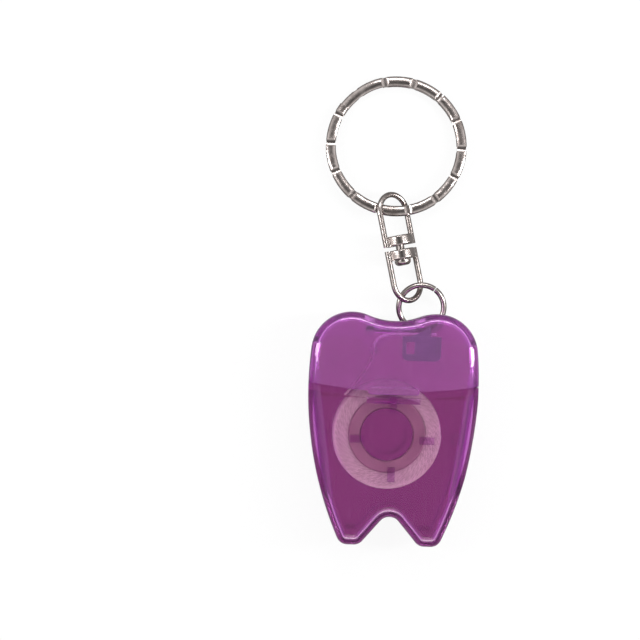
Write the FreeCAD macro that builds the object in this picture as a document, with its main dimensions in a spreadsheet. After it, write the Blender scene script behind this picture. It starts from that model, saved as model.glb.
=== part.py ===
import FreeCAD, Part
import math
import os
import re

# Tooth-shaped floss dispenser on a key chain, lying on its back.
# X is to the right, Y towards the key ring, Z up from the back face; X is zero on the tooth's middle plane.

os.makedirs("parts", exist_ok=True)
doc = FreeCAD.newDocument("FlossDispenser")
Vector = FreeCAD.Vector
Rotation = FreeCAD.Rotation
Placement = FreeCAD.Placement

sizes = {
    # case outline
    "cuspOffset": 8.85, "shoulderRadius": 8.5, "shoulderHeight": 17.85, "dipDepth": 1.7,
    "sideRadius": 76.0, "widestHeight": 11.0, "rootRise": 5.95, "rootFlat": 1.37,
    "notchClear": 3.2, "notchRadius": 2.5,
    # case walls
    "thickness": 13.5, "wall": 1.4, "frontRound": 2.2, "backRound": 0.9, "cornerMargin": 0.15,
    "sideRound": 4.4, "sideLean": 8.0, "sideMargin": 0.15,
    "partingShare": 0.5, "lidGap": 0.25, "shellGap": 0.05,
    # seam of the lid
    "seamHeight": 10.0, "seamRadius": 100.0, "seamGap": 0.25, "ledgeThickness": 1.2,
    # lid hinge
    "hingeDrop": 1.45, "rollMargin": 0.1, "rollGap": 0.3, "barrelRadius": 1.25,
    "pinRadius": 0.6, "pinRunGap": 0.06, "pinSeatGap": 0.02,
    "earOffset": 5.2, "earWidth": 1.6, "earRadius": 1.5, "earGap": 0.2,
    # thumb tab and catch
    "tabWidth": 10.5, "tabDrop": 0.65, "tabReach": 1.0, "tabRaise": 0.5, "tabSeat": 0.6, "tabRound": 0.3,
    "scoopGap": 0.3, "scoopRadius": 2.2, "scoopRise": 1.2,
    "beadWidth": 5.8, "beadRise": 2.5, "beadSize": 0.5, "panelWidth": 10.6, "panelRise": 5.4,
    "panelDepth": 0.35, "ridgeSize": 0.6,
    # neck
    "neckInset": 2.1, "neckWall": 1.2, "neckFrontGap": 0.9, "neckRearDrop": 0.75, "neckDrop": 3.55,
    "neckCorner": 3.5, "scallopOffset": 4.3, "scallopRadius": 3.4, "scallopDepth": 2.1, "outletRadius": 0.8,
    "outletRise": 2.25,
    # joint lip, sill, pegs and snaps
    "lipGap": 0.1, "lipWall": 0.75, "lipHeight": 1.2, "lipDrop": 1.6, "sillDrop": 1.7, "sillWall": 1.2,
    "sillGap": 0.1, "pegInset": 6.45, "pegDrop": 6.4, "pegRadius": 1.15, "bossRadius": 1.75,
    "pegGap": 0.06, "pegReach": 2.0, "bossDrop": 0.4,
    "snapWidth": 2.0, "snapWall": 1.0, "snapGap": 0.5, "snapFrontGap": 3.1,
    "tongueWidth": 2.5, "tongueWall": 0.6, "tongueGap": 0.3, "tongueFrontGap": 2.5,
    # spool and floss
    "spoolLeft": 1.05, "spoolDrop": 20.15, "hubRadius": 5.45, "hubWall": 1.2, "hubFrontGap": 2.5,
    "spoolGap": 0.08, "coreRadius": 8.0,
    "thrustRadius": 7.0, "thrustHeight": 0.3, "axialGap": 0.25, "coreRound": 0.3,
    "packRadius": 10.85, "packInset": 0.3, "packGap": 0.02,
    "flossRadius": 0.25, "turnGap": 0.12, "turnPitch": 0.98,
    "ribHubGap": 0.3, "ribLength": 3.0, "ribWidth": 1.5, "ribGap": 0.3, "ribHeight": 2.15,
    "leadGap": 0.3, "leadBend": 1.2,
    # cutter
    "cutterLeft": 1.6, "cutterWidth": 8.0, "cutterSheet": 0.4, "cutterGap": 0.05, "skirtDrop": 4.6,
    "skirtCorner": 1.2, "windowLeft": 0.8, "windowWidth": 1.7, "windowDrop": 0.7, "windowHeight": 2.5,
    "flangeDepth": 2.6, "barbStart": 0.6, "barbLength": 5.3, "barbTip": 0.4, "barbRise": 2.1, "barbHollow": 0.35,
    "barbSet": 1.2,
    # chain eye
    "ringX": 5.8, "ringRise": 3.1, "ringRadius": 4.8, "ringWire": 0.6, "ringCut": 0.3, "ringCutAngle": 55.0,
    "eyeHeight": 1.5, "eyeRadius": 0.9, "finReach": 2.6, "pocketGap": 0.55, "pocketRoof": 0.95,
    "housingWall": 0.7,
    # swivel
    "swivelRest": 0.05, "swivelTilt": 12.8, "swivelRoll": 38.0, "linkAngle": 127.5, "linkGap": 2.4,
    "armOffset": 3.75, "armWire": 0.6, "bracketLength": 11.6, "collarRadius": 2.95, "collarHeight": 2.1,
    "collarGap": 0.9, "collarRound": 0.35, "bridgeDepth": 1.3,
    "rivetRadius": 0.9, "rivetHead": 1.75, "rivetHeadHeight": 1.2, "rivetHeadRound": 0.9, "rivetRunGap": 0.06,
    "rivetSeatGap": 0.02, "rivetPlay": 0.1,
    # split ring
    "keyOuter": 15.0, "keyBand": 2.1, "keySheet": 0.94, "keyPitch": 1.06, "keyRest": 0.05,
    "keyRampAngle": 40.0, "keyRampAt": 125.0, "keyTurn": 1.1, "keyGap": 1.9,
    "crimpRadius": 1.5, "crimpDepth": 0.26, "crimpSide": 0.16, "crimpCount": 14.0,
    # one overrun for all cuts
    "overrun": 5.0,
}

sheet = doc.addObject("Spreadsheet::Sheet", "Sizes")
for row, (name, value) in enumerate(sizes.items(), start=1):
    sheet.set("A%d" % row, name)
    sheet.set("B%d" % row, str(value))
    sheet.setAlias("B%d" % row, name)
doc.recompute()


# Reads a driving size from the sheet by its alias.
class Sizes:

    def __getattr__(self, name):
        return float(sheet.get(name))


size = Sizes()


# Turns plain size names into references to the sheet.
def formula(text):
    return re.sub(r"[A-Za-z]\w*", lambda hit: "Sizes." + hit.group() if hit.group() in sizes else hit.group(),
                  text)


def bind(thing, **formulas):
    for prop, text in formulas.items():
        thing.setExpression(prop, formula(text))


def place(thing, x="0", y="0", z="0", turn=None):
    if turn is not None:
        thing.Placement = Placement(Vector(), turn)
    for axis, text in zip("xyz", (x, y, z)):
        thing.setExpression("Placement.Base." + axis, formula(text))
    return thing


def box(name, x, y, z, length, width, height):
    thing = doc.addObject("Part::Box", name)
    bind(thing, Length=length, Width=width, Height=height)
    return place(thing, x, y, z)


alongX = Rotation(Vector(0, 1, 0), 90)


def rod(name, radius, height, x="0", y="0", z="0", turn=None):
    thing = doc.addObject("Part::Cylinder", name)
    bind(thing, Radius=radius, Height=height)
    return place(thing, x, y, z, turn)


def fuse(name, *things):
    thing = doc.addObject("Part::MultiFuse", name)
    thing.Shapes = list(things)
    thing.Refine = True
    return thing


def common(name, *things):
    thing = doc.addObject("Part::MultiCommon", name)
    thing.Shapes = list(things)
    return thing


def cut(name, base, *tools):
    tool = tools[0] if len(tools) == 1 else fuse(name + "Tools", *tools)
    thing = doc.addObject("Part::Cut", name)
    thing.Base = base
    thing.Tool = tool
    return thing


# A sketch arc of under half a circle about a centre.
def arc(start, end, centre, radius):
    first = math.atan2(start.y - centre.y, start.x - centre.x)
    last = math.atan2(end.y - centre.y, end.x - centre.x)
    if (last - first) % (2 * math.pi) > math.pi:
        first, last = last, first
    circle = Part.Circle(centre, Vector(0, 0, 1), radius)
    return Part.ArcOfCircle(circle, first, last)


def mirrored(point):
    return Vector(-point.x, point.y, point.z)


# A body with one sketch of the given edges, padded upwards from a height above the back face.
def pad(name, edges, bottom, height):
    body = doc.addObject("PartDesign::Body", name)
    sketch = body.newObject("Sketcher::SketchObject", name + "Sketch")
    plane = [one for one in body.Origin.OriginFeatures if one.Role == "XY_Plane"][0]
    sketch.AttachmentSupport = [(plane, "")]
    sketch.MapMode = "FlatFace"
    sketch.setExpression("AttachmentOffset.Base.z", formula(bottom))
    sketch.addGeometry(list(edges), False)
    block = body.newObject("PartDesign::Pad", name + "Pad")
    block.Profile = sketch
    bind(block, Length=height)
    sketch.Visibility = False
    doc.recompute()
    return body


# Rounds the whole edge of the body's top or bottom face.
def round_face(body, normal_z, radius):
    base = body.Tip
    faces = base.Shape.Faces
    ends = [face.CenterOfMass.z * normal_z for face in faces]
    number = ends.index(max(ends)) + 1
    fillet = body.newObject("PartDesign::Fillet", body.Name + ("Front" if normal_z > 0 else "Back"))
    fillet.Base = (base, ["Face%d" % number])
    bind(fillet, Radius=radius)
    body.Tip = fillet
    doc.recompute()


# Places worked out from the sizes, as formulas for the sheet and as numbers for the sketches
cuspTopText = "(shoulderHeight + shoulderRadius)"
hingeYText = "(shoulderHeight + shoulderRadius - dipDepth - hingeDrop)"
hingeZText = "(thickness * partingShare)"
rollText = "(dipDepth + hingeDrop + rollMargin)"
rimTopText = "(thickness * partingShare - lidGap)"
bulgeText = "sqrt((sideRadius - shoulderRadius) ^ 2 - (shoulderHeight - widestHeight) ^ 2)"
halfWidthText = "(cuspOffset + sideRadius - %s)" % bulgeText
neckTopText = "(shoulderHeight + shoulderRadius - dipDepth - neckDrop)"
spoolYText = "(%s - spoolDrop)" % neckTopText
pegXText = "(%s - pegInset)" % halfWidthText
pegYText = "(%s - pegDrop)" % neckTopText
spoolWidthText = "(thickness - 2 * wall - thrustHeight - axialGap - ribGap - ribHeight)"
turnsOuterText = "(packRadius + turnGap + 2 * flossRadius)"
notchApexText = "(%s + notchClear + wall)" % turnsOuterText
rootDepthText = "(%s + rootRise)" % notchApexText
beadText = "(seamHeight + beadRise)"
outletText = "(thickness * partingShare + outletRise)"
neckFrontText = "(thickness - wall - neckFrontGap)"
neckRearText = "(thickness * partingShare - neckRearDrop)"
spoolBottomText = "(wall + thrustHeight + axialGap)"
flangeBottomText = "(%s + cutterGap)" % neckTopText
skirtBackText = "(thickness - wall - neckFrontGap + cutterGap)"

dip_y = size.shoulderHeight + size.shoulderRadius - size.dipDepth
hinge_y = dip_y - size.hingeDrop
hinge_z = size.thickness * size.partingShare
neck_top = dip_y - size.neckDrop
outlet_z = hinge_z + size.outletRise
turns_outer = size.packRadius + size.turnGap + 2 * size.flossRadius
notch_apex = turns_outer + size.notchClear + size.wall
root_depth = notch_apex + size.rootRise
spool_width = size.thickness - 2 * size.wall - size.thrustHeight - size.axialGap - size.ribGap - size.ribHeight
neck_front = size.thickness - size.wall - size.neckFrontGap
spoolCentre = Vector(-size.spoolLeft, neck_top - size.spoolDrop, 0)
spool_bottom = size.wall + size.thrustHeight + size.axialGap
side_step = size.sideRadius - size.shoulderRadius
bulge = side_step - math.sqrt(side_step ** 2 - (size.shoulderHeight - size.widestHeight) ** 2)
half_width = size.cuspOffset + size.shoulderRadius + bulge
tip_radius = size.frontRound + size.cornerMargin


# The tooth's outline, a chain of tangent arcs, moved inwards by an inset.
def tooth_edges(inset):
    shoulder = Vector(size.cuspOffset, size.shoulderHeight)
    valley_radius = (size.cuspOffset ** 2 + size.dipDepth ** 2) / (2 * size.dipDepth) - size.shoulderRadius
    valley = Vector(0, dip_y + valley_radius)
    side = Vector(half_width - size.sideRadius, size.widestHeight)
    tip_y = tip_radius - root_depth
    tip_step = size.sideRadius - tip_radius
    tip_out = Vector(side.x + math.sqrt(tip_step ** 2 - (tip_y - side.y) ** 2), tip_y)
    notch = Vector(0, -notch_apex - size.notchRadius)
    tip_in = tip_out - Vector(size.rootFlat, 0)
    apart = tip_in - notch
    lean = math.atan2(apart.y, apart.x) + math.acos((size.notchRadius + tip_radius) / apart.Length)
    inward = Vector(math.cos(lean), math.sin(lean))
    down = Vector(0, inset - tip_radius)
    cusp_point = shoulder + (valley - shoulder).normalize() * (size.shoulderRadius - inset)
    side_point = side + (shoulder - side).normalize() * (size.sideRadius - inset)
    root_point = side + (tip_out - side).normalize() * (size.sideRadius - inset)
    tip_point = tip_in + inward * (inset - tip_radius)
    notch_point = notch + inward * (size.notchRadius + inset)
    right = [
        arc(cusp_point, side_point, shoulder, size.shoulderRadius - inset),
        arc(side_point, root_point, side, size.sideRadius - inset),
        arc(root_point, tip_out + down, tip_out, tip_radius - inset),
        Part.LineSegment(tip_out + down, tip_in + down),
        arc(tip_in + down, tip_point, tip_in, tip_radius - inset),
        Part.LineSegment(tip_point, notch_point),
    ]
    left = []
    for edge in right:
        start, end = mirrored(edge.StartPoint), mirrored(edge.EndPoint)
        if isinstance(edge, Part.LineSegment):
            left.append(Part.LineSegment(start, end))
        else:
            left.append(arc(start, end, mirrored(edge.Center), edge.Radius))
    valley_arc = arc(mirrored(cusp_point), cusp_point, valley, valley_radius + inset)
    notch_arc = arc(notch_point, mirrored(notch_point), notch, size.notchRadius + inset)
    return [valley_arc] + right + [notch_arc] + left[::-1]


# The middle of a root's tip and the inner face of its wall, where the root tongues stand
tip_reach = math.sqrt((size.sideRadius - tip_radius) ** 2 - (tip_radius - root_depth - size.widestHeight) ** 2)
tip_middle = half_width - size.sideRadius + tip_reach - size.rootFlat / 2
tongue_y = size.wall - root_depth + size.lipGap + size.lipWall + size.tongueGap


# A plan zone between the seam's arc, lowered by a drop, and a straight or curved far side.
def seam_point(side, drop):
    reach = half_width + size.overrun
    radius = size.seamRadius + drop
    return Vector(side * reach, size.seamHeight + size.seamRadius - math.sqrt(radius ** 2 - reach ** 2))


def zone_edges(drop, far):
    left, right = seam_point(-1, drop), seam_point(1, drop)
    centre = Vector(0, size.seamHeight + size.seamRadius)
    top_left, top_right = Vector(left.x, far), Vector(right.x, far)
    return [arc(left, right, centre, size.seamRadius + drop), Part.LineSegment(right, top_right),
            Part.LineSegment(top_right, top_left), Part.LineSegment(top_left, left)]


def band_edges(drop, width):
    low_left, low_right = seam_point(-1, drop + width), seam_point(1, drop + width)
    left, right = seam_point(-1, drop), seam_point(1, drop)
    centre = Vector(0, size.seamHeight + size.seamRadius)
    return [arc(left, right, centre, size.seamRadius + drop), Part.LineSegment(right, low_right),
            arc(low_left, low_right, centre, size.seamRadius + drop + width), Part.LineSegment(low_left, left)]


# The neck's outline with its round corners and the scallop for the floss outlet.
def neck_edges(inset, bottom):
    half = half_width - size.neckInset - inset
    top = neck_top - inset
    corner = size.neckCorner - inset
    scallop = Vector(-size.scallopOffset, neck_top - size.scallopDepth + size.scallopRadius)
    radius = size.scallopRadius + inset
    reach = math.sqrt(radius ** 2 - (scallop.y - top) ** 2)
    corners = [Vector(-half, bottom), Vector(-half, top - corner), Vector(corner - half, top),
               Vector(scallop.x - reach, top), Vector(scallop.x + reach, top),
               Vector(half - corner, top), Vector(half, top - corner), Vector(half, bottom)]
    centres = {1: (Vector(corner - half, top - corner), corner), 3: (scallop, radius),
               5: (Vector(half - corner, top - corner), corner)}
    edges = []
    for number, start in enumerate(corners):
        end = corners[(number + 1) % len(corners)]
        if number in centres:
            edges.append(arc(start, end, *centres[number]))
        else:
            edges.append(Part.LineSegment(start, end))
    return edges


def rounded_edges(left, bottom, right, top, corner):
    corners = [Vector(left + corner, bottom), Vector(right - corner, bottom), Vector(right, bottom + corner),
               Vector(right, top - corner), Vector(right - corner, top), Vector(left + corner, top),
               Vector(left, top - corner), Vector(left, bottom + corner)]
    centres = {1: Vector(right - corner, bottom + corner), 3: Vector(right - corner, top - corner),
               5: Vector(left + corner, top - corner), 7: Vector(left + corner, bottom + corner)}
    edges = []
    for number, start in enumerate(corners):
        end = corners[(number + 1) % len(corners)]
        if number in centres:
            edges.append(arc(start, end, centres[number], corner))
        else:
            edges.append(Part.LineSegment(start, end))
    return edges


def polygon_edges(points):
    return [Part.LineSegment(start, end) for start, end in zip(points, points[1:] + points[:1])]


far_top = size.shoulderHeight + size.shoulderRadius + size.overrun
far_bottom = -root_depth - size.overrun
wide = "(%s + overrun)" % halfWidthText

# Places of the chain: the jump ring's frame, its link with the swivel, and the key ring's link
link = math.radians(size.linkAngle)
ring_y = dip_y + size.ringRise
swivel_z = size.collarRadius + size.swivelRest
ring_lean = math.asin((swivel_z - size.eyeHeight) / (size.ringRadius * (1 + math.sin(link))))
ring_z = size.eyeHeight + size.ringRadius * math.sin(ring_lean)
ringFrame = Placement(Vector(size.ringX, ring_y, ring_z), Rotation(Vector(1, 0, 0), math.degrees(ring_lean)))
eye_y = ring_y - size.ringRadius * math.cos(ring_lean)
linkPoint = ringFrame.multVec(Vector(size.ringRadius * math.cos(link), size.ringRadius * math.sin(link)))
tilt = math.radians(size.swivelTilt)
swivelAxis = Vector(-math.sin(tilt), math.cos(tilt), 0)
linkSpan = size.bracketLength - size.armWire - size.linkGap
swivelMid = linkPoint + swivelAxis * (linkSpan + size.collarGap / 2)
upright = Rotation(Vector(1, 0, 0), Vector(0, 0, 1), swivelAxis, "ZXY")
swivelFrame = Placement(swivelMid, upright.multiply(Rotation(Vector(0, 0, 1), size.swivelRoll)))
key_reach = size.collarGap / 2 + size.bracketLength - 2 * size.armWire - size.keyGap - size.keyBand / 2
keyPoint = swivelMid + swivelAxis * key_reach
key_radius = size.keyOuter - size.keyBand / 2
key_thick = size.keySheet + size.keyPitch
key_drop = math.asin((swivel_z - size.keyRest - key_thick / 2) / (2 * key_radius))
keyTurn = Rotation(Vector(0, 0, 1), -size.keyTurn).multiply(Rotation(Vector(1, 0, 0), -math.degrees(key_drop)))
keyFrame = Placement(keyPoint + keyTurn.multVec(Vector(0, key_radius, 0)), keyTurn)


# Puts a primitive at a place in one of those frames.
def stand(thing, frame, place_in=Vector(), turn=Rotation()):
    thing.Placement = frame.multiply(Placement(place_in, turn))
    return thing


def local_rod(name, radius, height, frame, place_in=Vector(), turn=Rotation()):
    thing = doc.addObject("Part::Cylinder", name)
    bind(thing, Radius=radius, Height=height)
    return stand(thing, frame, place_in, turn)


def local_box(name, length, width, height, frame, corner, turn=Rotation()):
    thing = doc.addObject("Part::Box", name)
    bind(thing, Length=length, Width=width, Height=height)
    return stand(thing, frame, corner, turn)


# What is left outside a long round along each side of the front, deepest beside the spool.
def side_cutters(name, inset):
    lean = math.radians(size.sideLean)
    outward = Vector(math.cos(lean), -math.sin(lean))
    axis = Vector(half_width - size.sideRadius, size.widestHeight)
    axis += outward * (size.sideRadius - size.sideRound + size.sideMargin)
    axis.z = size.thickness - size.sideRound + size.sideMargin
    start = Vector(0, -root_depth - size.overrun)
    length = "2 * (%s + overrun)" % rootDepthText
    cutters = []
    for side, point, angle in (("Right", axis, -size.sideLean), ("Left", mirrored(axis), size.sideLean + 180)):
        frame = Placement(point, Rotation(Vector(0, 0, 1), angle))
        block = local_box(name + side + "Block", "sideRound + overrun", length, "sideRound + overrun", frame, start)
        core = local_rod(name + side + "Core", "sideRound - " + inset, length, frame, start,
                         Rotation(Vector(1, 0, 0), -90))
        cutters.append(cut(name + side, block, core))
    return cutters


# Whole tooth, from which the three moulded pieces are parted
padded = pad("Padded", tooth_edges(0), "0", "thickness")
round_face(padded, 1, "frontRound")
round_face(padded, -1, "backRound")
blank = cut("Blank", padded, *side_cutters("OuterRound", "0"))
core = pad("Core", tooth_edges(size.wall), "wall", "thickness - 2 * wall")
round_face(core, 1, "frontRound - wall")
hollow = cut("Hollow", core, *side_cutters("InnerRound", "wall"))
toothShell = cut("ToothShell", blank, hollow)


# A rod along X through the hinge line, centred on a place along it.
def hinge_rod(name, radius, length, centre="0"):
    return rod(name, radius, length, "%s - (%s) / 2" % (centre, length), hingeYText, hingeZText, alongX)


def make_rear_shell():
    low = "-%s - overrun" % rootDepthText
    zone = box("RearZone", "-" + wide, low, "-overrun", "2 * " + wide,
               rootDepthText + " + %s + 2 * overrun" % cuspTopText, rimTopText + " + overrun")
    wall = common("RearWall", toothShell, zone)
    housing_round = local_rod("EyeHousingRod", "ringRadius + ringWire + pocketGap + housingWall",
                              "overrun + pocketRoof + housingWall", ringFrame, Vector(0, 0, -size.overrun))
    housing = common("EyeHousing", blank, housing_round)
    roll = hinge_rod("RearRollSpace", rollText + " + rollGap", "2 * " + wide)
    tray = cut("RearTray", fuse("RearTrayBlank", wall, housing), roll)
    lip_inset = size.wall + size.lipGap
    lip_ring = pad("LipRing", tooth_edges(lip_inset) + tooth_edges(lip_inset + size.lipWall), "wall / 2",
                   rimTopText + " + lipHeight - wall / 2")
    root_ring = pad("LipRootRing", tooth_edges(size.wall / 2) + tooth_edges(lip_inset + size.lipWall), "wall / 2",
                    rimTopText + " - wall / 2")
    lip_zone = box("LipZone", "-" + wide, low, "0", "2 * " + wide,
                   "seamHeight - lipDrop + %s + overrun" % rootDepthText, "thickness")
    lip = common("Lip", fuse("LipRings", lip_ring, root_ring), lip_zone)
    adds = [tray, lip,
            rod("HubRod", "hubRadius", "thickness - wall - hubFrontGap - wall / 2", "-spoolLeft", spoolYText,
                "wall / 2"),
            rod("ThrustRod", "thrustRadius", "wall / 2 + thrustHeight", "-spoolLeft", spoolYText, "wall / 2"),
            common("Sill", blank,
                   box("SillBox", "-" + wide, neckTopText + " - sillDrop - sillWall", "wall / 2", "2 * " + wide,
                       "sillWall", neckRearText + " - sillGap - wall / 2"))]
    cuts = [rod("HubBore", "hubRadius - hubWall", "thickness", "-spoolLeft", spoolYText, "wall")]
    for side, sign in (("Left", "-"), ("Right", "")):
        adds.append(rod(side + "Boss", "bossRadius", rimTopText + " - bossDrop - wall / 2",
                        sign + pegXText, pegYText, "wall / 2"))
        cuts.append(rod(side + "BossBore", "pegRadius + pegGap", "pegReach + overrun",
                        sign + pegXText, pegYText, rimTopText + " - bossDrop - pegReach - pegGap"))
        middle = sign + "earOffset"
        adds.append(hinge_rod(side + "EarHead", "earRadius", "earWidth", middle))
        adds.append(box(side + "EarWeb", middle + " - earWidth / 2", hingeYText + " - earRadius", "wall / 2",
                        "earWidth", "earRadius", hingeZText + " - wall / 2"))
        snap_x = "(%s + spoolLeft + snapGap)" % turnsOuterText
        left = "-%s - snapWall" % snap_x if sign else snap_x
        adds.append(box(side + "Snap", left, "-snapWidth / 2", "wall / 2", "snapWall", "snapWidth",
                        "thickness - wall - snapFrontGap - wall / 2"))
        tongue_x = -tip_middle if sign else tip_middle
        adds.append(local_box(side + "Tongue", "tongueWidth", "tongueWall",
                              "thickness - wall - tongueFrontGap - wall / 2", Placement(),
                              Vector(tongue_x - size.tongueWidth / 2, tongue_y, size.wall / 2)))
    cuts.append(hinge_rod("EarBore", "pinRadius + pinSeatGap", "2 * (earOffset + earWidth)"))
    cuts.append(local_rod("EyePocket", "ringRadius + ringWire + pocketGap", "overrun + pocketRoof",
                          ringFrame, Vector(0, 0, -size.overrun)))
    body = cut("RearShellBody", fuse("RearShellAdds", *adds), *cuts)
    fin_corner = Vector(size.ringX - size.earWidth / 2,
                        ring_y - size.ringRadius - size.ringWire - size.pocketGap - size.housingWall / 2)
    fin_box = local_box("FinBox", "earWidth", "ringWire + pocketGap + housingWall / 2 + finReach",
                        "eyeHeight + eyeRadius + housingWall / 2", Placement(), fin_corner)
    fin = common("Fin", blank, fin_box)
    eye_start = Vector(size.ringX - size.earWidth / 2 - size.overrun, eye_y, size.eyeHeight)
    eye = local_rod("EyeHole", "eyeRadius", "earWidth + 2 * overrun", Placement(), eye_start, alongX)
    return fuse("rear_shell", body, cut("FinEye", fin, eye))


def make_front_shell():
    bottom = rimTopText + " + shellGap"
    low_zone = pad("LowZone", zone_edges(size.seamGap, far_bottom), bottom, "thickness")
    wall = common("FrontWall", toothShell, low_zone)
    ledge_zone = pad("LedgeZone", band_edges(size.seamGap, size.ledgeThickness), bottom, "thickness")
    ledge_y = size.seamHeight - size.seamGap - size.ledgeThickness
    neck_block = pad("NeckBlock", neck_edges(0, ledge_y), neckRearText, neckFrontText + " - " + neckRearText)
    neck_hollow = pad("NeckHollow", neck_edges(size.neckWall, 0), neckRearText + " - overrun",
                      neckFrontText + " - neckWall - " + neckRearText + " + overrun")
    ledge = common("Ledge", blank, ledge_zone)
    neck = cut("Neck", fuse("NeckAndLedge", ledge, neck_block), neck_hollow)
    rib_bottom = "(thickness - wall - ribHeight)"
    rib_height = "ribHeight + wall / 2"
    rib_start = "(hubRadius + ribHubGap)"
    rib_end = "-(hubRadius + ribHubGap + ribLength)"
    adds = [wall, neck,
            box("RibRight", rib_start, "-ribWidth / 2", rib_bottom, "ribLength", "ribWidth", rib_height),
            box("RibLeft", rib_end, "-ribWidth / 2", rib_bottom, "ribLength", "ribWidth", rib_height),
            box("RibLow", "-ribWidth / 2", rib_end, rib_bottom, "ribWidth", "ribLength", rib_height),
            box("RibHigh", "-ribWidth / 2", rib_start, rib_bottom, "ribWidth", "ribLength", rib_height)]
    boss_top = "(" + rimTopText + " - bossDrop)"
    for side, sign in (("Left", "-"), ("Right", "")):
        adds.append(rod(side + "Post", "bossRadius", neckFrontText + " - neckWall / 2 - %s - pegGap" % boss_top,
                        sign + pegXText, pegYText, boss_top + " + pegGap"))
        adds.append(rod(side + "Peg", "pegRadius", "pegReach + bossDrop", sign + pegXText, pegYText,
                        boss_top + " - pegReach"))
    outlet = rod("Outlet", "outletRadius", "scallopRadius + overrun", "-scallopOffset",
                 neckTopText + " - scallopDepth + overrun", outletText, Rotation(Vector(1, 0, 0), 90))
    scoop = rod("Scoop", "scoopRadius", "tabWidth + 2 * scoopGap", "-tabWidth / 2 - scoopGap",
                "seamHeight - tabDrop", "thickness + scoopRise", alongX)
    panel = box("CatchPanel", "-panelWidth / 2", "seamHeight", neckFrontText + " - panelDepth",
                "panelWidth", "panelRise", "panelDepth + overrun")
    body = cut("FrontShellBody", fuse("FrontShellAdds", *adds), outlet, scoop, panel)
    ridges = []
    for name, lift in (("RidgeLow", "- 2 * ridgeSize"), ("RidgeHigh", "+ 2 * ridgeSize")):
        ridges.append(box(name, "-beadWidth / 2", beadText + " %s - ridgeSize / 2" % lift,
                          neckFrontText + " - panelDepth - neckWall / 4", "beadWidth", "ridgeSize",
                          "panelDepth + neckWall / 4"))
    return fuse("front_shell", body, *ridges)


def make_lid():
    crown_zone = pad("CrownZone", zone_edges(0, far_top), "-overrun", "thickness + 2 * overrun")
    front_half = box("LidHalf", "-" + wide, "0", hingeZText, "2 * " + wide, cuspTopText + " + overrun",
                     "thickness")
    roll = hinge_rod("LidRoll", rollText, "2 * " + wide)
    crown = common("Crown", toothShell, crown_zone, fuse("LidReach", front_half, roll))
    barrel = hinge_rod("Barrel", "barrelRadius", "2 * earOffset - earWidth - 2 * earGap")
    tab = pad("Tab", rounded_edges(-size.tabWidth / 2, size.seamHeight - size.tabDrop, size.tabWidth / 2,
                                   size.seamHeight + size.tabReach, size.tabRound * 2),
              "thickness - tabSeat", "tabSeat + tabRaise")
    round_face(tab, 1, "tabRound")
    bead = box("Bead", "-beadWidth / 2", beadText + " - beadSize / 2", "thickness - wall - beadSize",
               "beadWidth", "beadSize", "beadSize + wall / 2")
    slots = []
    for side, sign in (("Left", "-"), ("Right", "")):
        middle = sign + "earOffset"
        slots.append(hinge_rod(side + "EarRound", "earRadius + rollGap", "earWidth + 2 * earGap", middle))
        slots.append(box(side + "EarSlot", middle + " - earWidth / 2 - earGap", hingeYText + " - overrun", "0",
                         "earWidth + 2 * earGap", "2 * overrun", hingeZText))
    bore = hinge_rod("BarrelBore", "pinRadius + pinRunGap", "2 * earOffset")
    return cut("lid", fuse("LidAdds", crown, barrel, tab, bead), bore, *slots)


def make_pin():
    return hinge_rod("lid_hinge_pin", "pinRadius", "2 * earOffset + earWidth")


def make_spool_core():
    rims = [Part.Circle(spoolCentre, Vector(0, 0, 1), radius)
            for radius in (size.coreRadius, size.hubRadius + size.spoolGap)]
    core = pad("spool_core", rims, spoolBottomText, spoolWidthText)
    round_face(core, 1, "coreRound")
    round_face(core, -1, "coreRound")
    return core


def make_floss_pack():
    pack = rod("PackRod", "packRadius", spoolWidthText + " - 2 * packInset", "-spoolLeft", spoolYText,
               spoolBottomText + " + packInset")
    return cut("floss_pack", pack, rod("PackBore", "coreRadius + packGap", "thickness", "-spoolLeft", spoolYText))


# A round tube along a chain of edges, as a pipe shell.
def tube(edges, radius, start, heading):
    profile = Part.Wire([Part.Circle(start, heading, radius).toShape()])
    return Part.Wire(edges).makePipeShell([profile], True, False)


def make_outer_turns():
    radius = size.packRadius + size.turnGap + size.flossRadius
    room = spool_width - 2 * size.packInset - 2 * size.flossRadius
    quarters = int(4 * room / size.turnPitch)
    bottom = spool_bottom + (spool_width - size.turnPitch * quarters / 4) / 2

    def helix(turn):
        angle = 2 * math.pi * turn
        around = Vector(radius * math.cos(angle), radius * math.sin(angle), bottom + size.turnPitch * turn)
        return spoolCentre + around

    def along(turn):
        angle = 2 * math.pi * turn
        run = 2 * math.pi * radius
        return Vector(-run * math.sin(angle), run * math.cos(angle), size.turnPitch).normalize()

    first = helix(0) - along(0) * 2 * size.flossRadius
    last = helix(quarters / 4) + along(quarters / 4) * 2 * size.flossRadius
    edges = [Part.makeLine(first, helix(0))]
    for quarter in range(quarters):
        places = [helix((quarter + share) / 4) for share in (0, 0.5, 1)]
        edges.append(Part.Arc(*places).toShape())
    edges.append(Part.makeLine(helix(quarters / 4), last))
    points = [point for edge in edges[1:-1] for point in edge.discretize(9)[:-1]]
    gaps = [(one - two).Length for number, one in enumerate(points) for two in points[number + 16:]]
    print("least gap of the floss turns to themselves: %.2f mm" % (min(gaps) - 2 * size.flossRadius))
    turns = doc.addObject("Part::Feature", "floss_outer_turns")
    turns.Shape = tube(edges, size.flossRadius, first, along(0))
    return turns


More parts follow.
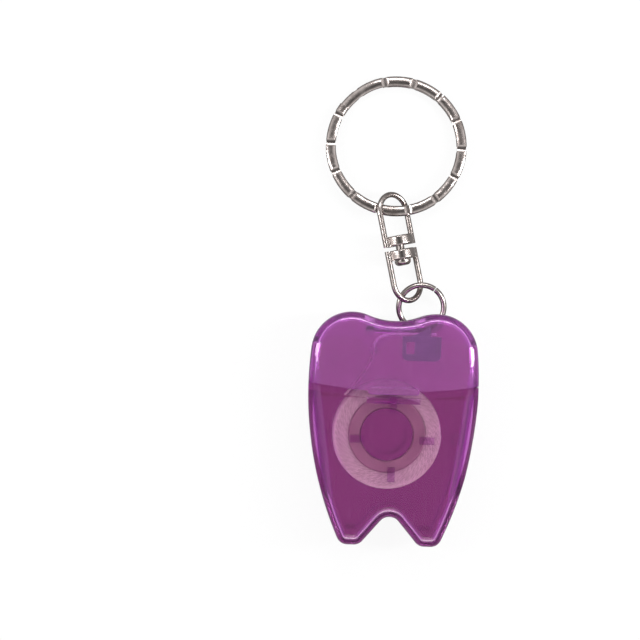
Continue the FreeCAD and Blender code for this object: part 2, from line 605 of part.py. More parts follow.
# A route of straight runs joined by tangent arcs.
def bent_edges(points, bend):
    edges = []
    here = points[0]
    for before, corner, after in zip(points, points[1:], points[2:]):
        come, leave = (corner - before).normalize(), (after - corner).normalize()
        half = come.getAngle(leave) / 2
        start, end = corner - come * bend * math.tan(half), corner + leave * bend * math.tan(half)
        inside = (leave - come).normalize()
        middle = corner + inside * bend * (1 / math.cos(half) - 1)
        edges.append(Part.makeLine(here, start))
        edges.append(Part.Arc(start, middle, end).toShape())
        here = end
    edges.append(Part.makeLine(here, points[-1]))
    return edges


def make_strand():
    reach = size.packRadius + size.turnGap + 3 * size.flossRadius + size.leadGap
    outlet_y = neck_top - size.scallopDepth - size.neckWall - 2 * size.leadBend
    outlet = Vector(-size.scallopOffset, outlet_y, outlet_z)
    apart = outlet - spoolCentre
    angle = math.atan2(apart.y, apart.x) + math.acos(reach / math.hypot(apart.x, apart.y))
    leave = spoolCentre + Vector(reach * math.cos(angle), reach * math.sin(angle), outlet_z)
    over = neck_top + size.cutterGap + size.cutterSheet + size.flossRadius + size.leadGap
    rise = Vector(outlet.x, neck_top - size.scallopDepth + 2 * size.leadBend, outlet_z)
    end = size.cutterLeft + size.barbStart + size.barbLength + size.leadBend
    points = [leave, outlet, rise, Vector(size.cutterLeft, over, outlet_z), Vector(end, over, outlet_z)]
    strand = doc.addObject("Part::Feature", "floss_strand")
    strand.Shape = tube(bent_edges(points, size.leadBend), size.flossRadius, leave, (outlet - leave).normalize())
    return strand


def make_cutter():
    left, right = size.cutterLeft, size.cutterLeft + size.cutterWidth
    top = neck_top + size.cutterGap + size.cutterSheet
    skirt = pad("Skirt", rounded_edges(left, neck_top - size.skirtDrop, right, top + size.skirtCorner,
                                       size.skirtCorner), skirtBackText, "cutterSheet")
    trim = box("SkirtTrim", "cutterLeft - overrun", flangeBottomText + " + cutterSheet", "0",
               "cutterWidth + 2 * overrun", "overrun", "thickness + overrun")
    window = box("SkirtWindow", "cutterLeft + windowLeft", neckTopText + " - windowDrop - windowHeight", "0",
                 "windowWidth", "windowHeight", "thickness + overrun")
    flange = box("Flange", "cutterLeft", flangeBottomText, skirtBackText + " - flangeDepth",
                 "cutterWidth", "cutterSheet", "flangeDepth + cutterSheet")
    # the barb rises in a hollow curve to a short tip
    heel = Vector(left + size.barbStart, top - size.cutterSheet / 2)
    toe = heel + Vector(size.barbLength, 0)
    tip_right = Vector(toe.x, top + size.barbRise)
    tip_left = tip_right - Vector(size.barbTip, 0)
    slope = tip_left - heel
    hollow = (heel + tip_left) * 0.5 + Vector(slope.y, -slope.x).normalize() * size.barbHollow
    barb_edges = [Part.LineSegment(heel, toe), Part.LineSegment(toe, tip_right),
                  Part.LineSegment(tip_right, tip_left), Part.Arc(tip_left, hollow, heel)]
    barb = pad("Barb", barb_edges, skirtBackText + " - barbSet", "cutterSheet")
    return fuse("cutter", cut("SkirtPlate", skirt, trim, window), flange, barb)


def make_jump_ring():
    torus = doc.addObject("Part::Torus", "RingTorus")
    bind(torus, Radius1="ringRadius", Radius2="ringWire")
    stand(torus, ringFrame)
    turn = Rotation(Vector(0, 0, 1), size.ringCutAngle)
    corner = turn.multVec(Vector(0, -size.ringCut / 2, -size.overrun / 2))
    slit = local_box("RingSlit", "ringRadius + overrun", "ringCut", "overrun", ringFrame, corner, turn)
    return cut("jump_ring", torus, slit)


# A disc with both rims rounded, in one of the chain's frames.
def button(name, radius, height, corner, frame):
    disc = pad(name, [Part.Circle(Vector(), Vector(0, 0, 1), radius)], "0", height)
    round_face(disc, 1, corner)
    round_face(disc, -1, corner)
    return stand(disc, frame)


# One half of the swivel: a collar with a wire loop, in a frame whose Z runs from the collar to the loop.
def make_bracket(name, frame, bore):
    arc_z = size.bracketLength - size.armOffset - size.armWire
    loop = doc.addObject("Part::Torus", name + "Loop")
    bind(loop, Radius1="armOffset", Radius2="armWire")
    loop.Angle3 = 180
    stand(loop, frame, Vector(0, 0, arc_z), Rotation(Vector(1, 0, 0), 90))
    adds = [loop, button(name + "Collar", size.collarRadius, "collarHeight", "collarRound", frame),
            local_box(name + "Bridge", "2 * armOffset", "bridgeDepth", "collarHeight", frame,
                      Vector(-size.armOffset, -size.bridgeDepth / 2, 0))]
    for side, sign in (("Left", -1), ("Right", 1)):
        adds.append(local_rod(name + side, "armWire", "bracketLength - armOffset - armWire", frame,
                              Vector(sign * size.armOffset, 0, 0)))
    hole = local_rod(name + "Hole", bore, "collarHeight + 2 * overrun", frame, Vector(0, 0, -size.overrun))
    return cut(name, fuse(name + "Adds", *adds), hole)


def make_swivel():
    up = swivelFrame.multiply(Placement(Vector(0, 0, size.collarGap / 2), Rotation()))
    over = Rotation(Vector(1, 0, 0), 180)
    down = swivelFrame.multiply(Placement(Vector(0, 0, -size.collarGap / 2), over))
    lower = make_bracket("swivel_lower_bracket", down, "rivetRadius + rivetRunGap")
    upper = make_bracket("swivel_upper_bracket", up, "rivetRadius + rivetSeatGap")
    low = -size.collarGap / 2 - size.collarHeight - size.rivetPlay - size.rivetHeadHeight
    shank = local_rod("RivetShank", "rivetRadius",
                      "collarGap + 2 * collarHeight + rivetPlay + rivetHeadHeight", swivelFrame, Vector(0, 0, low))
    head = pad("RivetHead", [Part.Circle(Vector(), Vector(0, 0, 1), size.rivetHead)], "0", "rivetHeadHeight")
    round_face(head, -1, "rivetHeadRound")
    stand(head, swivelFrame, Vector(0, 0, low))
    return [lower, upper, fuse("swivel_rivet", shank, head)]


def make_split_ring():
    half = size.keyPitch / 2
    ramp = size.keyRampAngle

    def on_ring(angle, height):
        turn = math.radians(angle + size.keyRampAt)
        return Vector(key_radius * math.cos(turn), key_radius * math.sin(turn), height)

    def span(first, last, height):
        return Part.Arc(on_ring(first, height), on_ring((first + last) / 2, height), on_ring(last, height))

    # each half of the ramp leaves level and meets the other half on the middle plane
    def ramp_half(start, end, heading):
        chord = end - start
        normal = heading.cross(chord)
        inside = normal.cross(heading).normalize()
        radius = chord.Length ** 2 / (2 * chord.dot(inside))
        centre = start + inside * radius
        middle = (start - centre) + (end - centre)
        return Part.Arc(start, centre + middle.normalize() * radius, end)

    def heading(angle):
        turn = math.radians(angle + size.keyRampAt)
        return Vector(-math.sin(turn), math.cos(turn), 0)

    begin, top_end = ramp / 2, 360 - ramp / 2
    middle = on_ring(360, 0)
    parts = [span(begin, 180, half), span(180, top_end, half),
             ramp_half(on_ring(top_end, half), middle, heading(top_end)),
             ramp_half(on_ring(360 + begin, -half), middle, heading(begin) * -1),
             span(360 + begin, 540, -half), span(540, 360 + top_end, -half)]
    wire = Part.Wire(Part.__sortEdges__([one.toShape() for one in parts]))
    start, along = on_ring(begin, half), heading(begin)
    across = Vector(start.x, start.y, 0).normalize()
    reach, lift = size.keyBand / 2, size.keySheet / 2
    profile = Part.Wire([Part.Ellipse(Vector(), reach, lift).toShape()])
    profile.Placement = Placement(start, Rotation(across, Vector(0, 0, 1), across.cross(Vector(0, 0, 1)), "ZXY"))
    band = wire.makePipeShell([profile], True, False)
    crimps, pinches = [], []
    count = int(round(size.crimpCount))
    for number in range(count):
        turn = Rotation(Vector(0, 0, 1), 360 * number / count)
        for side in (-1, 1):
            height = side * (half + lift + size.crimpRadius - size.crimpDepth)
            crimp = Part.makeCylinder(size.crimpRadius, size.keyOuter + size.overrun, turn.multVec(Vector(0, 0, height)),
                                      turn.multVec(Vector(1, 0, 0)))
            reach_out = key_radius + side * (reach + size.crimpRadius - size.crimpSide)
            pinch = Part.makeCylinder(size.crimpRadius, 2 * size.overrun,
                                      turn.multVec(Vector(reach_out, 0, -size.overrun)))
            crimps.append(crimp)
            pinches.append(pinch)
    ring = doc.addObject("Part::Feature", "split_ring")
    ring.Shape = band.cut(crimps).cut(pinches)
    ring.Placement = keyFrame
    return ring


pieces = [make_rear_shell(), make_front_shell(), make_lid(), make_pin(), make_spool_core(), make_floss_pack(),
          make_outer_turns(), make_strand(), make_cutter(), make_jump_ring()]
pieces += make_swivel()
pieces.append(make_split_ring())
doc.recompute()

for thing in doc.Objects:
    if "Invalid" in thing.State or "Error" in thing.State:
        raise RuntimeError("%s did not build" % thing.Name)
for piece in pieces:
    piece.Label = piece.Name
    solids = piece.Shape.Solids
    if not piece.Shape.isValid() or len(solids) != 1:
        raise RuntimeError("%s has %d solids, valid %s" % (piece.Label, len(solids), piece.Shape.isValid()))
    piece.Shape.exportStep("parts/%s.step" % piece.Label)
    print("%s %.1f mm3" % (piece.Label, piece.Shape.Volume))
print("link of jump ring and swivel", linkPoint, "ring lean", math.degrees(ring_lean), "ring z", ring_z)
print("key ring link", keyPoint, "key drop", math.degrees(key_drop), "centre", keyFrame.Base)
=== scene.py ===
import math

import bmesh
import bpy
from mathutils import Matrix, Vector


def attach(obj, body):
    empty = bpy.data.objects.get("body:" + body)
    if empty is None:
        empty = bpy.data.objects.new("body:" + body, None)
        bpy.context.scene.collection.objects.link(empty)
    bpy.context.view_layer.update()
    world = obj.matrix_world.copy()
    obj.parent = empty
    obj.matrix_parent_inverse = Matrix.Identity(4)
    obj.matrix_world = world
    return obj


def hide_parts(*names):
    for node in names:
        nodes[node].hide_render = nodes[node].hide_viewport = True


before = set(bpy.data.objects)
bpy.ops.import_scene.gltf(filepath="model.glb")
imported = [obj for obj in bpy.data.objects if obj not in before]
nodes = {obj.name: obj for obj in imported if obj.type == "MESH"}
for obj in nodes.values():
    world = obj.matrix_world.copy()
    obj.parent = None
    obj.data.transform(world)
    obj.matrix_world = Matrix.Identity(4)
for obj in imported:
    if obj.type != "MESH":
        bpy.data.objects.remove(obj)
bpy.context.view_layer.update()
scene = bpy.context.scene
mm = 0.001
# the spool's axis, which the wound floss and its finish share
spoolCentre = (-1.05 * mm, 0.95 * mm)
print("frame loaded with", len(nodes), "nodes")


def addObject(name, data):
    holder = bpy.data.objects.new(name, data)
    scene.collection.objects.link(holder)
    return holder


def pickSocket(sockets, key):
    if isinstance(key, int):
        return sockets[key]
    return next(one for one in sockets if key in (one.identifier, one.name))


# a socket that takes plain operators
class Wire:
    def __init__(self, graph, socket):
        self.graph = graph
        self.socket = socket

    def __add__(self, other):
        return self.graph.maths("ADD", self, other)

    def __radd__(self, other):
        return self.graph.maths("ADD", other, self)

    def __sub__(self, other):
        return self.graph.maths("SUBTRACT", self, other)

    def __rsub__(self, other):
        return self.graph.maths("SUBTRACT", other, self)

    def __mul__(self, other):
        return self.graph.maths("MULTIPLY", self, other)

    def __rmul__(self, other):
        return self.graph.maths("MULTIPLY", other, self)


# a node tree of any kind; all its nodes come from one method
class Graph:
    def __init__(self, group):
        self.group = group

    def add(self, kind, settings=None, inputs=None, output=0):
        node = self.group.nodes.new(kind)
        for name, value in (settings or {}).items():
            if name == "stops":
                self.setStops(node.color_ramp, value)
            else:
                setattr(node, name, value)
        for name, value in (inputs or {}).items():
            socket = pickSocket(node.inputs, name)
            for one in value if isinstance(value, list) else [value]:
                if isinstance(one, Wire):
                    self.group.links.new(one.socket, socket)
                else:
                    socket.default_value = one
        return Wire(self, pickSocket(node.outputs, output)) if len(node.outputs) else None

    def setStops(self, ramp, stops):
        while len(ramp.elements) < len(stops):
            ramp.elements.new(1.0)
        for element, (place, grey) in zip(ramp.elements, stops):
            element.position = place
            element.color = (grey, grey, grey, 1)

    def maths(self, operation, first, second=0.0):
        return self.add("ShaderNodeMath", {"operation": operation}, {"Value": first, "Value_001": second})

    def vector(self, operation, output="Vector", **inputs):
        return self.add("ShaderNodeVectorMath", {"operation": operation}, inputs, output)


# the node tree of a material or of the world
class Finish(Graph):
    def __init__(self, owner):
        owner.use_nodes = True
        super().__init__(owner.node_tree)
        self.group.nodes.clear()
        self.owner = owner

    def blend(self, factor, first, second):
        return self.add("ShaderNodeMix", {"data_type": "RGBA"},
                        {"Factor_Float": factor, "A_Color": first, "B_Color": second}, "Result_Color")

    def place(self, stretch=(1, 1, 1), turn=(0, 0, 0), shift=(0, 0, 0)):
        coords = self.add("ShaderNodeTexCoord", output="Object")
        return self.add("ShaderNodeMapping", None,
                        {"Vector": coords, "Scale": stretch, "Rotation": turn, "Location": shift})

    def axis(self, vector, letter):
        return self.add("ShaderNodeSeparateXYZ", None, {"Vector": vector}, letter)

    def noise(self, place, scale, detail=2.0, rough=0.5):
        return self.add("ShaderNodeTexNoise", None,
                        {"Vector": place, "Scale": scale, "Detail": detail, "Roughness": rough})

    def ramp(self, value, *stops):
        return self.add("ShaderNodeValToRGB", {"stops": stops}, {"Fac": value})

    def bump(self, height, strength, distance, under=None):
        inputs = {"Height": height, "Strength": strength, "Distance": distance}
        if under is not None:
            inputs["Normal"] = under
        return self.add("ShaderNodeBump", None, inputs)

    def ray(self, kind):
        return self.add("ShaderNodeLightPath", output=kind)

    def mixShader(self, factor, first, second):
        return self.add("ShaderNodeMixShader", None, {"Fac": factor, "Shader": first, "Shader_001": second})

    def surface(self, **inputs):
        named = {name.replace("_", " "): value for name, value in inputs.items()}
        shader = self.add("ShaderNodeBsdfPrincipled", None, named)
        self.add("ShaderNodeOutputMaterial", None, {"Surface": shader})
        return self.owner


def newFinish(name):
    return Finish(bpy.data.materials.new(name))


# see-through moulded plastic: flow marks in the tint, another tint where a wall faces sideways or rounds
# over, a slow ripple in the skin and fine scuffs in the gloss
clearPlasticLook = {
    "rear": {"tint": (0.39, 0.065, 0.315, 1), "flow": (0.32, 0.048, 0.27, 1),
             "side": (0.4, 0.05, 0.44, 1), "see": 0.99},
    # front and rear shell are one plastic; the front shell's paler tint is painted light that lets the floss
    # behind it read bright, and the rear shell carries the deeper colour
    "front": {"tint": (0.97, 0.8, 0.86, 1), "flow": (0.91, 0.7, 0.81, 1),
              "side": (0.6, 0.13, 0.63, 1), "see": 0.99},
    "lid": {"tint": (0.98, 0.59, 0.99, 1), "flow": (0.93, 0.49, 0.97, 1),
            "side": (0.68, 0.18, 0.74, 1), "see": 0.93},
    "sideways": ((0.25, 0.0), (0.85, 1.0)), "rounded": ((0.3, 0.0), (0.55, 0.8), (0.9, 0.8), (0.99, 0.0)),
    "ribPaintedShade": (0.74, 0.3, 0.74, 1), "ribReach": 8.9 * mm, "ribLow": 9.85 * mm, "ribHigh": 10.05 * mm,
    "flowStretch": (1, 0.35, 1), "flowScale": 60, "rippleScale": 150, "rippleHeight": 0.1 * mm,
    "scuffStretch": (1, 0.12, 1), "scuffTurn": (0, 0, 0.6), "scuffScale": 900,
    "scuffEdge": ((0.52, 0.0), (0.72, 1.0)), "bend": 1.49, "haze": 0.12, "scuff": 0.1,
    "coat": 0.7, "coatGloss": 0.03, "coatTint": (0.985, 0.91, 0.985, 1), "mirrorTint": (0.7, 0.25, 0.75, 1),
}


# the undersides of the four ribs over the spool, where a deeper tint paints the ribs' shade
def ribShadeMask(finish):
    look = clearPlasticLook
    rise = finish.axis(finish.place(), "Z")
    reach = finish.vector("LENGTH", "Value", Vector=finish.place((1, 1, 0)))
    above = finish.maths("GREATER_THAN", rise, look["ribLow"])
    below = finish.maths("LESS_THAN", rise, look["ribHigh"])
    return above * below * finish.maths("LESS_THAN", reach, look["ribReach"])


def makeClearPlastic(name, piece):
    look = clearPlasticLook
    colours = look[piece]
    finish = newFinish(name)
    marks = finish.noise(finish.place(look["flowStretch"]), look["flowScale"], detail=3)
    scuffPlace = finish.place(look["scuffStretch"], look["scuffTurn"])
    scuffs = finish.noise(scuffPlace, look["scuffScale"], detail=4, rough=0.6)
    worn = finish.ramp(scuffs, *look["scuffEdge"])
    ripple = finish.noise(finish.place(), look["rippleScale"], detail=1)
    normal = finish.add("ShaderNodeTexCoord", output="Normal")
    across = finish.ramp(finish.maths("ABSOLUTE", finish.axis(normal, "X")), *look["sideways"])
    over = finish.ramp(finish.maths("ABSOLUTE", finish.axis(normal, "Z")), *look["rounded"])
    flat = finish.blend(marks, colours["tint"], colours["flow"])
    # on the front shell a deeper tint under the ribs is painted shade
    if piece == "front":
        flat = finish.blend(ribShadeMask(finish), flat, look["ribPaintedShade"])
    return finish.surface(
        Base_Color=finish.blend(finish.maths("MAXIMUM", across, over), flat, colours["side"]),
        Roughness=look["haze"] + look["scuff"] * worn,
        Normal=finish.bump(ripple, strength=0.5, distance=look["rippleHeight"]),
        Transmission_Weight=colours["see"], IOR=look["bend"], Specular_Tint=look["mirrorTint"],
        Coat_Weight=look["coat"], Coat_Roughness=look["coatGloss"], Coat_Tint=look["coatTint"])


# spool core of natural plastic, cloudy all through
cloudyLook = {
    "dark": (0.5, 0.28, 0.41, 1), "light": (0.59, 0.36, 0.49, 1), "cloudScale": 300,
    "gloss": 0.38, "haze": 0.12, "see": 0.2, "bend": 1.49, "grainScale": 4000, "grainHeight": 0.02 * mm,
}


def makeCloudyPlastic():
    look = cloudyLook
    finish = newFinish("cloudyPlastic")
    cloud = finish.noise(finish.place(), look["cloudScale"], detail=3)
    grain = finish.noise(finish.place(), look["grainScale"], detail=2)
    return finish.surface(
        Base_Color=finish.blend(cloud, look["dark"], look["light"]),
        Roughness=look["gloss"] + look["haze"] * cloud,
        Normal=finish.bump(grain, strength=0.15, distance=look["grainHeight"]),
        Transmission_Weight=look["see"], IOR=look["bend"])


# waxed thread: twisted fibres that follow the thread's own coordinates, shaded in layers round the spool
flossLook = {
    "dark": (0.66, 0.57, 0.6, 1), "light": (0.98, 0.96, 0.95, 1), "shadeEdge": ((0.56, 0.0), (0.72, 1.0)),
    "twistAlong": 5200, "twistAround": 18.85, "fibreShade": 0.12, "fibreHeight": 0.02 * mm,
    "patchScale": 700, "patchShade": 0.3, "layScale": 1500, "wanderScale": 140, "wander": 1.2 * mm,
    "gloss": 0.42, "wax": 0.2, "sheen": 0.25, "bend": 1.45,
}


def makeWaxedFloss():
    look = flossLook
    finish = newFinish("waxedFloss")
    along = finish.add("ShaderNodeAttribute", {"attribute_name": "along"}, output="Fac")
    around = finish.add("ShaderNodeAttribute", {"attribute_name": "around"}, output="Fac")
    fibres = finish.maths("SINE", along * look["twistAlong"] + around * look["twistAround"])
    patches = finish.noise(finish.place(), look["patchScale"], detail=3)
    wander = finish.noise(finish.place(), look["wanderScale"], detail=2)
    fromAxis = finish.place(shift=(-spoolCentre[0], -spoolCentre[1], 0))
    outward = finish.vector("LENGTH", "Value", Vector=fromAxis) + look["wander"] * wander
    layer = finish.add("ShaderNodeCombineXYZ", None, {"X": outward})
    lay = finish.noise(layer, look["layScale"], detail=2, rough=0.6)
    mottle = lay + look["fibreShade"] * fibres + look["patchShade"] * patches
    shade = finish.ramp(mottle, *look["shadeEdge"])
    return finish.surface(
        Base_Color=finish.blend(shade, look["dark"], look["light"]),
        Roughness=look["gloss"] + look["wax"] * patches,
        Normal=finish.bump(fibres, strength=0.35, distance=look["fibreHeight"]),
        Sheen_Weight=look["sheen"], IOR=look["bend"])


# plated steel of the chain: patches of tarnish, with dents and fine pits in the skin
nickelLook = {
    "bright": (0.5, 0.445, 0.425, 1), "dull": (0.26, 0.222, 0.208, 1), "gloss": 0.15, "rub": 0.14,
    "tarnishScale": 420, "tarnishEdge": ((0.42, 0.0), (0.68, 1.0)),
    "castNickel": {"pitScale": 5200, "pitHeight": 0.03 * mm, "dentScale": 900, "dentHeight": 0.05 * mm},
    "wireNickel": {"pitScale": 7000, "pitHeight": 0.012 * mm, "dentScale": 500, "dentHeight": 0.03 * mm},
    "hammeredNickel": {"pitScale": 6000, "pitHeight": 0.012 * mm, "dentScale": 650, "dentHeight": 0.12 * mm},
}


def makeNickel(name):
    look = nickelLook
    relief = look[name]
    finish = newFinish(name)
    tarnish = finish.noise(finish.place(), look["tarnishScale"], detail=4, rough=0.6)
    pits = finish.noise(finish.place(), relief["pitScale"], detail=3, rough=0.65)
    dents = finish.noise(finish.place(), relief["dentScale"], detail=1)
    dull = finish.ramp(tarnish, *look["tarnishEdge"])
    skin = finish.bump(dents, strength=0.6, distance=relief["dentHeight"])
    return finish.surface(
        Base_Color=finish.blend(dull, look["bright"], look["dull"]), Metallic=1.0,
        Roughness=look["gloss"] + look["rub"] * dull,
        Normal=finish.bump(pits, strength=0.5, distance=relief["pitHeight"], under=skin))


# stamped steel of the cutter and the pin, brushed one way
steelLook = {
    "light": (0.3, 0.31, 0.37, 1), "dark": (0.2, 0.21, 0.26, 1), "stainScale": 500, "gloss": 0.24,
    "brushStretch": (0.03, 1, 1), "brushScale": 9000, "brushed": 0.16, "brushHeight": 0.01 * mm,
}


def makeBrushedSteel():
    look = steelLook
    finish = newFinish("brushedSteel")
    brush = finish.noise(finish.place(look["brushStretch"]), look["brushScale"], detail=3, rough=0.7)
    stains = finish.noise(finish.place(), look["stainScale"], detail=3)
    return finish.surface(
        Base_Color=finish.blend(stains, look["light"], look["dark"]), Metallic=1.0,
        Roughness=look["gloss"] + look["brushed"] * brush,
        Normal=finish.bump(brush, strength=0.25, distance=look["brushHeight"]))


rearPlastic = makeClearPlastic("clearPurpleRear", "rear")
frontPlastic = makeClearPlastic("clearPurpleFront", "front")
lidPlastic = makeClearPlastic("clearPurpleLid", "lid")
cloudyPlastic = makeCloudyPlastic()
waxedFloss = makeWaxedFloss()
castNickel = makeNickel("castNickel")
wireNickel = makeNickel("wireNickel")
hammeredNickel = makeNickel("hammeredNickel")
brushedSteel = makeBrushedSteel()
print("finishes made")

nodeFinishes = {
    "rear_shell": rearPlastic, "front_shell": frontPlastic, "lid": lidPlastic, "spool_core": cloudyPlastic,
    "lid_hinge_pin": brushedSteel, "cutter": brushedSteel, "jump_ring": wireNickel,
    "swivel_lower_bracket": castNickel, "swivel_upper_bracket": castNickel, "swivel_rivet": wireNickel,
    "split_ring": hammeredNickel,
}
for nodeName, material in nodeFinishes.items():
    nodes[nodeName].material_slots[0].material = material
print("rigid pieces dressed")


# a geometry tree with named number inputs
class Tree(Graph):
    def __init__(self, name, sizes):
        super().__init__(bpy.data.node_groups.new(name, "GeometryNodeTree"))
        panel = self.group.interface
        panel.new_socket("Geometry", in_out="INPUT", socket_type="NodeSocketGeometry")
        for size in sizes:
            panel.new_socket(size, in_out="INPUT", socket_type="NodeSocketFloat")
        panel.new_socket("Geometry", in_out="OUTPUT", socket_type="NodeSocketGeometry")
        self.inlet = self.group.nodes.new("NodeGroupInput")
        self.outlet = self.group.nodes.new("NodeGroupOutput")
        self.source = Wire(self, self.inlet.outputs[0])

    def size(self, name):
        return Wire(self, self.inlet.outputs[name])

    def join(self, *pieces):
        return self.add("GeometryNodeJoinGeometry", None, {"Geometry": list(pieces)})

    def move(self, geometry, **shift):
        offset = self.add("ShaderNodeCombineXYZ", None, shift)
        return self.add("GeometryNodeTransform", None, {"Geometry": geometry, "Translation": offset})

    def store(self, geometry, name, value):
        return self.add("GeometryNodeStoreNamedAttribute", {"data_type": "FLOAT", "domain": "POINT"},
                        {"Geometry": geometry, "Name": name, "Value": value})

    # a round thread along curves, with its own coordinates kept for the fibres
    def thread(self, curves, radius, sides):
        marked = self.store(curves, "along", self.add("GeometryNodeSplineParameter", output="Length"))
        ring = self.add("GeometryNodeCurvePrimitiveCircle", {"mode": "RADIUS"},
                        {"Resolution": sides, "Radius": radius})
        profile = self.store(ring, "around", self.add("GeometryNodeSplineParameter", output="Factor"))
        mesh = self.add("GeometryNodeCurveToMesh", None,
                        {"Curve": marked, "Profile Curve": profile, "Fill Caps": True})
        return self.add("GeometryNodeSetShadeSmooth", None, {"Geometry": mesh, "Shade Smooth": True})

    def finishWith(self, geometry, material):
        real = self.add("GeometryNodeRealizeInstances", None, {"Geometry": geometry})
        dressed = self.add("GeometryNodeSetMaterial", None, {"Geometry": real, "Material": material})
        self.group.links.new(dressed.socket, self.outlet.inputs[0])


# runs a tree on an object and keeps the result as a plain mesh
def growPiece(name, source, tree, sizes):
    modifier = source.modifiers.new("grow", "NODES")
    modifier.node_group = tree.group
    for item in tree.group.interface.items_tree:
        if item.in_out == "INPUT" and item.name in sizes:
            modifier[item.identifier] = sizes[item.name]
    graph = bpy.context.evaluated_depsgraph_get()
    mesh = bpy.data.meshes.new_from_object(source.evaluated_get(graph))
    bpy.data.objects.remove(source)
    mesh.name = name
    return addObject(name, mesh)


# floss wound on the spool: a crowned pack, wound round its side and in flat spirals over both faces
winding = {
    "sizes": {
        "Inner Radius": 8.12 * mm, "Outer Radius": 11.05 * mm, "Bottom": 2.4 * mm, "Top": 9.2 * mm,
        "Thread": 0.17 * mm, "Face Turns": 11.0, "Side Turns": 22.0, "Cross Turns": 9.0, "Wander": 0.09 * mm,
        "Centre X": spoolCentre[0], "Centre Y": spoolCentre[1],
    },
    "packProfile": [(8.03, 2.35), (10.7, 2.35), (10.9, 2.55), (10.95, 5.8), (10.9, 9.05), (10.7, 9.25),
                    (8.03, 9.25)],
    "packSegments": 128, "spiralSteps": 72, "threadSides": 6, "wanderScale": 260.0,
}


def makePackBody():
    profile = winding["packProfile"]
    segments = winding["packSegments"]
    mesh = bpy.data.meshes.new("flossPackBody")
    shape = bmesh.new()
    rings = []
    for number in range(segments):
        angle = 2 * math.pi * number / segments
        ring = [(radius * math.cos(angle), radius * math.sin(angle), height) for radius, height in profile]
        rings.append([shape.verts.new([value * mm for value in place]) for place in ring])
    for here, there in zip(rings, rings[1:] + rings[:1]):
        for low in range(len(profile)):
            high = (low + 1) % len(profile)
            shape.faces.new((here[low], there[low], there[high], here[high]))
    bmesh.ops.recalc_face_normals(shape, faces=shape.faces)
    for face in shape.faces:
        face.smooth = True
    shape.to_mesh(mesh)
    shape.free()
    return addObject("flossPackBody", mesh)


def makeWinding():
    tree = Tree("flossWinding", winding["sizes"])
    size = tree.size

    def spiral(turns, start, end, rise, lift, reverse=False):
        curve = tree.add("GeometryNodeCurveSpiral", None,
                         {"Resolution": winding["spiralSteps"], "Rotations": turns, "Start Radius": start,
                          "End Radius": end, "Height": rise, "Reverse": reverse})
        return tree.move(curve, Z=lift)

    inner = size("Inner Radius")
    outer = size("Outer Radius")
    crossing = outer + size("Thread")
    height = size("Top") - size("Bottom")
    curves = tree.join(spiral(size("Face Turns"), inner, outer, 0.0, size("Top")),
                       spiral(size("Face Turns"), inner, outer, 0.0, size("Bottom"), reverse=True),
                       spiral(size("Side Turns"), outer, outer, height, size("Bottom")),
                       spiral(size("Cross Turns"), crossing, crossing, height, size("Bottom"), reverse=True))
    here = tree.add("GeometryNodeInputPosition")
    noise = tree.add("ShaderNodeTexNoise", {"noise_dimensions": "3D"},
                     {"Vector": here, "Scale": winding["wanderScale"], "Detail": 1.0}, "Color")
    centred = tree.vector("SUBTRACT", Vector=noise, Vector_001=(0.5, 0.5, 0.5))
    wander = tree.vector("SCALE", Vector=centred, Scale=size("Wander"))
    loose = tree.add("GeometryNodeSetPosition", None, {"Geometry": curves, "Offset": wander})
    whole = tree.join(tree.source, tree.thread(loose, size("Thread"), winding["threadSides"]))
    tree.finishWith(tree.move(whole, X=size("Centre X"), Y=size("Centre Y")), waxedFloss)
    return growPiece("wound_floss", makePackBody(), tree, winding["sizes"])


woundFloss = makeWinding()
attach(woundFloss, "spool")
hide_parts("floss_pack", "floss_outer_turns")
print("floss wound:", len(woundFloss.data.polygons), "faces")

# the strand from the spool through the outlet to the cutter, three plies twisted together
strandLook = {
    "route": [(-10.04, 8.93, 9.0), (-4.3, 15.4, 9.0), (-4.3, 21.4, 9.0), (1.6, 22.1, 9.0), (8.7, 22.1, 9.0)],
    "routeOrder": 3, "routeSteps": 24, "step": 0.15 * mm, "plies": 3, "sides": 8,
    "sizes": {"Ply": 0.12 * mm, "Lay": 0.12 * mm, "Twist": 2400.0},
}


def makeStrandRoute():
    route = strandLook["route"]
    curve = bpy.data.curves.new("strandRoute", "CURVE")
    curve.dimensions = "3D"
    spline = curve.splines.new("NURBS")
    spline.points.add(len(route) - 1)
    for point, place in zip(spline.points, route):
        point.co = (*[value * mm for value in place], 1)
    spline.order_u = strandLook["routeOrder"]
    spline.use_endpoint_u = True
    spline.resolution_u = strandLook["routeSteps"]
    return addObject("strandRoute", curve)


def makeStrand():
    plies = strandLook["plies"]
    tree = Tree("flossStrand", strandLook["sizes"])
    fine = tree.add("GeometryNodeResampleCurve", {"mode": "LENGTH"},
                    {"Curve": tree.source, "Length": strandLook["step"]})
    side = tree.add("GeometryNodeInputNormal")
    across = tree.vector("CROSS_PRODUCT", Vector=tree.add("GeometryNodeInputTangent"), Vector_001=side)
    turn = tree.add("GeometryNodeSplineParameter", output="Length") * tree.size("Twist")
    lay = tree.size("Lay")
    laid = []
    for ply in range(plies):
        angle = turn + 2 * math.pi * ply / plies
        out = tree.vector("SCALE", Vector=side, Scale=tree.maths("COSINE", angle) * lay)
        over = tree.vector("SCALE", Vector=across, Scale=tree.maths("SINE", angle) * lay)
        offset = tree.vector("ADD", Vector=out, Vector_001=over)
        laid.append(tree.add("GeometryNodeSetPosition", None, {"Geometry": fine, "Offset": offset}))
    threads = tree.thread(tree.join(*laid), tree.size("Ply"), strandLook["sides"])
    tree.finishWith(threads, waxedFloss)
    return growPiece("floss_lead", makeStrandRoute(), tree, strandLook["sizes"])


strand = makeStrand()
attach(strand, "case")
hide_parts("floss_strand")
print("strand laid:", len(strand.data.polygons), "faces")

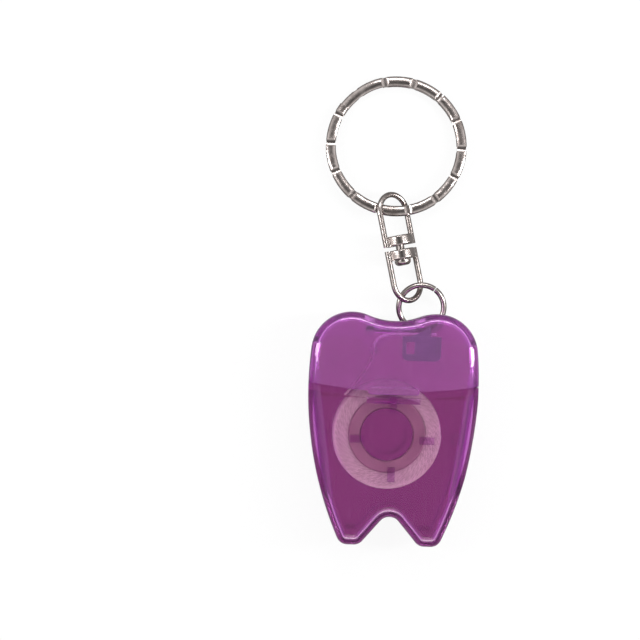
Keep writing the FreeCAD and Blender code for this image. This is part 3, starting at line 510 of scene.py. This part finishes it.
# studio: a floor that takes the shadow and lets the camera see the white behind it, a soft sky and
# three softboxes
studioLook = {
    "floorSize": 3.0, "floorDrop": 0.08 * mm, "floorWhite": 0.75, "floorClear": 0.92,
    "floorGlow": {"Is Glossy Ray": (0.85, 0.2), "Is Transmission Ray": (0.5, 0.8)},
    "sky": ((0.0, 0.3), (0.2, 0.15), (0.45, 0.5), (0.68, 0.7), (0.86, 0.45), (1.0, 0.06)), "skyStrength": 1.6,
    "lamps": {
        "leftSoftbox": {"place": (-0.32, 0.06, 0.26), "width": 0.06, "height": 0.3, "power": 0.75},
        "rightSoftbox": {"place": (0.3, 0.05, 0.22), "width": 0.05, "height": 0.26, "power": 1.1},
        "topSoftbox": {"place": (0.02, 0.36, 0.4), "width": 0.3, "height": 0.08, "power": 0.8},
    },
    "aim": (0.0, 0.012, 0.006),
}


def makeWhiteFloor():
    look = studioLook
    finish = newFinish("whiteFloor")
    seen = level = 0.0
    for kind, (share, strength) in look["floorGlow"].items():
        hit = finish.ray(kind)
        seen = finish.maths("MAXIMUM", seen, hit * share)
        level = finish.maths("MAXIMUM", level, hit * strength)
    white = look["floorWhite"]
    matt = finish.add("ShaderNodeBsdfDiffuse", None, {"Color": (white, white, white, 1)})
    glow = finish.add("ShaderNodeEmission", None, {"Color": (1, 1, 1, 1), "Strength": level})
    clear = finish.add("ShaderNodeBsdfTransparent")
    camera = finish.ray("Is Camera Ray") * look["floorClear"]
    mixed = finish.mixShader(camera, finish.mixShader(seen, matt, glow), clear)
    finish.add("ShaderNodeOutputMaterial", None, {"Surface": mixed})
    return finish.owner


def makeFloor():
    half = studioLook["floorSize"] / 2
    corners = [(-half, -half), (half, -half), (half, half), (-half, half)]
    mesh = bpy.data.meshes.new("floor")
    mesh.from_pydata([(x, y, -studioLook["floorDrop"]) for x, y in corners], [], [(0, 1, 2, 3)])
    mesh.materials.append(makeWhiteFloor())
    floor = addObject("floor", mesh)


def makeSky():
    scene.world = bpy.data.worlds.new("studioSky")
    finish = Finish(scene.world)
    direction = finish.add("ShaderNodeTexCoord", output="Generated")
    sky = finish.ramp(finish.axis(direction, "Z"), *studioLook["sky"])
    back = finish.add("ShaderNodeBackground", None, {"Color": sky, "Strength": studioLook["skyStrength"]})
    white = finish.add("ShaderNodeBackground", None, {"Color": (1, 1, 1, 1), "Strength": 1.0})
    mixed = finish.mixShader(finish.ray("Is Camera Ray"), back, white)
    finish.add("ShaderNodeOutputWorld", None, {"Surface": mixed})


def makeLamps():
    aim = Vector(studioLook["aim"])
    for name, look in studioLook["lamps"].items():
        lamp = bpy.data.lights.new(name, "AREA")
        lamp.shape = "RECTANGLE"
        lamp.size = look["width"]
        lamp.size_y = look["height"]
        lamp.energy = look["power"]
        holder = addObject(name, lamp)
        holder.location = look["place"]
        holder.rotation_euler = (aim - Vector(look["place"])).to_track_quat("-Z", "Y").to_euler()


# camera straight above, turned a little, as the photograph looks down
cameraLook = {
    "place": (-15.7 * mm, 24.37 * mm, 350 * mm), "turn": 1.8, "lens": 91.7, "sensor": 36.0,
    "nearest": 10 * mm,
}


def makeCamera():
    camera = bpy.data.cameras.new("camera")
    camera.sensor_width = cameraLook["sensor"]
    camera.lens = cameraLook["lens"]
    camera.clip_start = cameraLook["nearest"]
    holder = addObject("camera", camera)
    holder.location = cameraLook["place"]
    holder.rotation_euler = (0, 0, math.radians(cameraLook["turn"]))
    scene.camera = holder


makeFloor()
makeSky()
makeLamps()
makeCamera()
scene.view_settings.view_transform = "Standard"
print("studio set")
